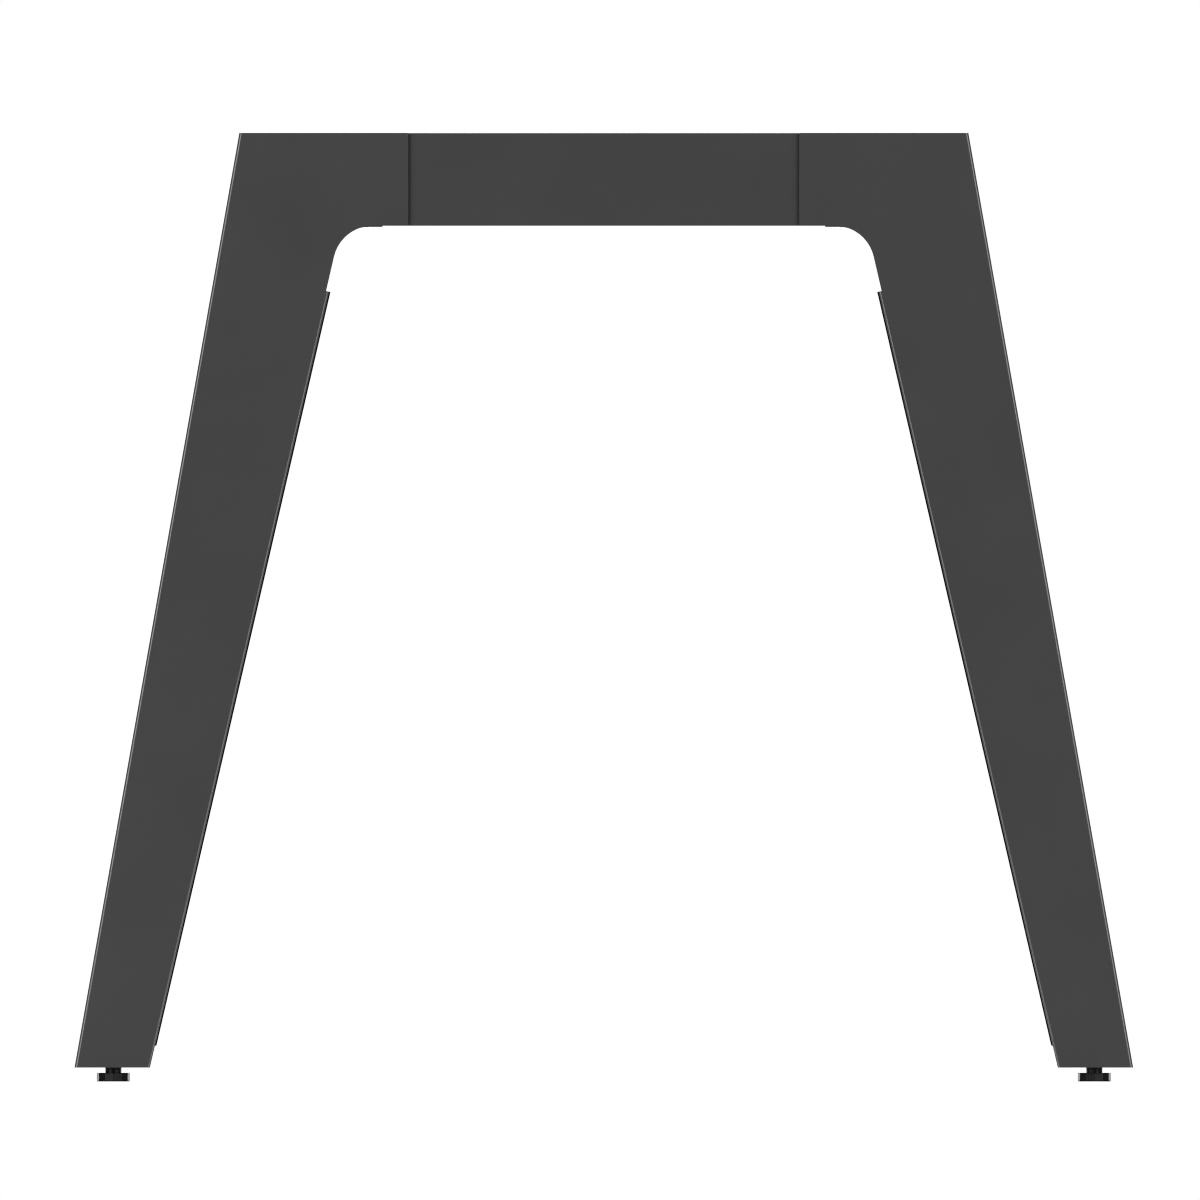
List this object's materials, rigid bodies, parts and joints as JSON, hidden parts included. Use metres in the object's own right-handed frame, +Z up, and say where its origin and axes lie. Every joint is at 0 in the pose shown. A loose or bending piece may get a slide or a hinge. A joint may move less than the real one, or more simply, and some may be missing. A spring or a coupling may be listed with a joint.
{
  "type": "desk leg",
  "caption": "A-shaped folded steel desk leg: two splayed hollow legs with arms lapped over a crossbar tube, rear cover plates and screw-in levelling feet.",
  "frame": {"origin": "on the floor, midway between the two feet", "axes": "+X across the frame along the desk's depth, +Z up, the plain show face towards -Y and the cover side towards +Y"},
  "size_m": [0.7986, 0.0463, 0.7155],
  "materials": {
    "powder_coat": "matt fine-texture powder coat, dark grey",
    "black_coat": "matt powder coat, black",
    "zinc_plate": "bright zinc plate",
    "black_screw": "black oxide",
    "black_nylon": "moulded, slight gloss"
  },
  "bodies": {
    "frame": {"left_leg_shell": "powder_coat", "right_leg_shell": "powder_coat", "crossbar_tube": "powder_coat", "left_rear_cover": "black_coat", "right_rear_cover": "black_coat", "left_foot_bracket": "powder_coat", "right_foot_bracket": "powder_coat", "left_foot_nut": "zinc_plate", "right_foot_nut": "zinc_plate", "left_cover_screws": "black_screw", "right_cover_screws": "black_screw", "left_cover_nuts": "zinc_plate", "right_cover_nuts": "zinc_plate", "beam_rivet_nuts": "zinc_plate"},
    "left_foot": {"left_levelling_stud": "zinc_plate", "left_glide_pad": "black_nylon"},
    "right_foot": {"right_levelling_stud": "zinc_plate", "right_glide_pad": "black_nylon"}
  },
  "joints": [
    {"name": "left_foot_screw", "type": "slide", "parent": "frame", "child": "left_foot", "axis": [0, 0, -1], "range_m": [0, 0.015]},
    {"name": "right_foot_screw", "type": "slide", "parent": "frame", "child": "right_foot", "axis": [0, 0, -1], "range_m": [0, 0.015]}
  ]
}
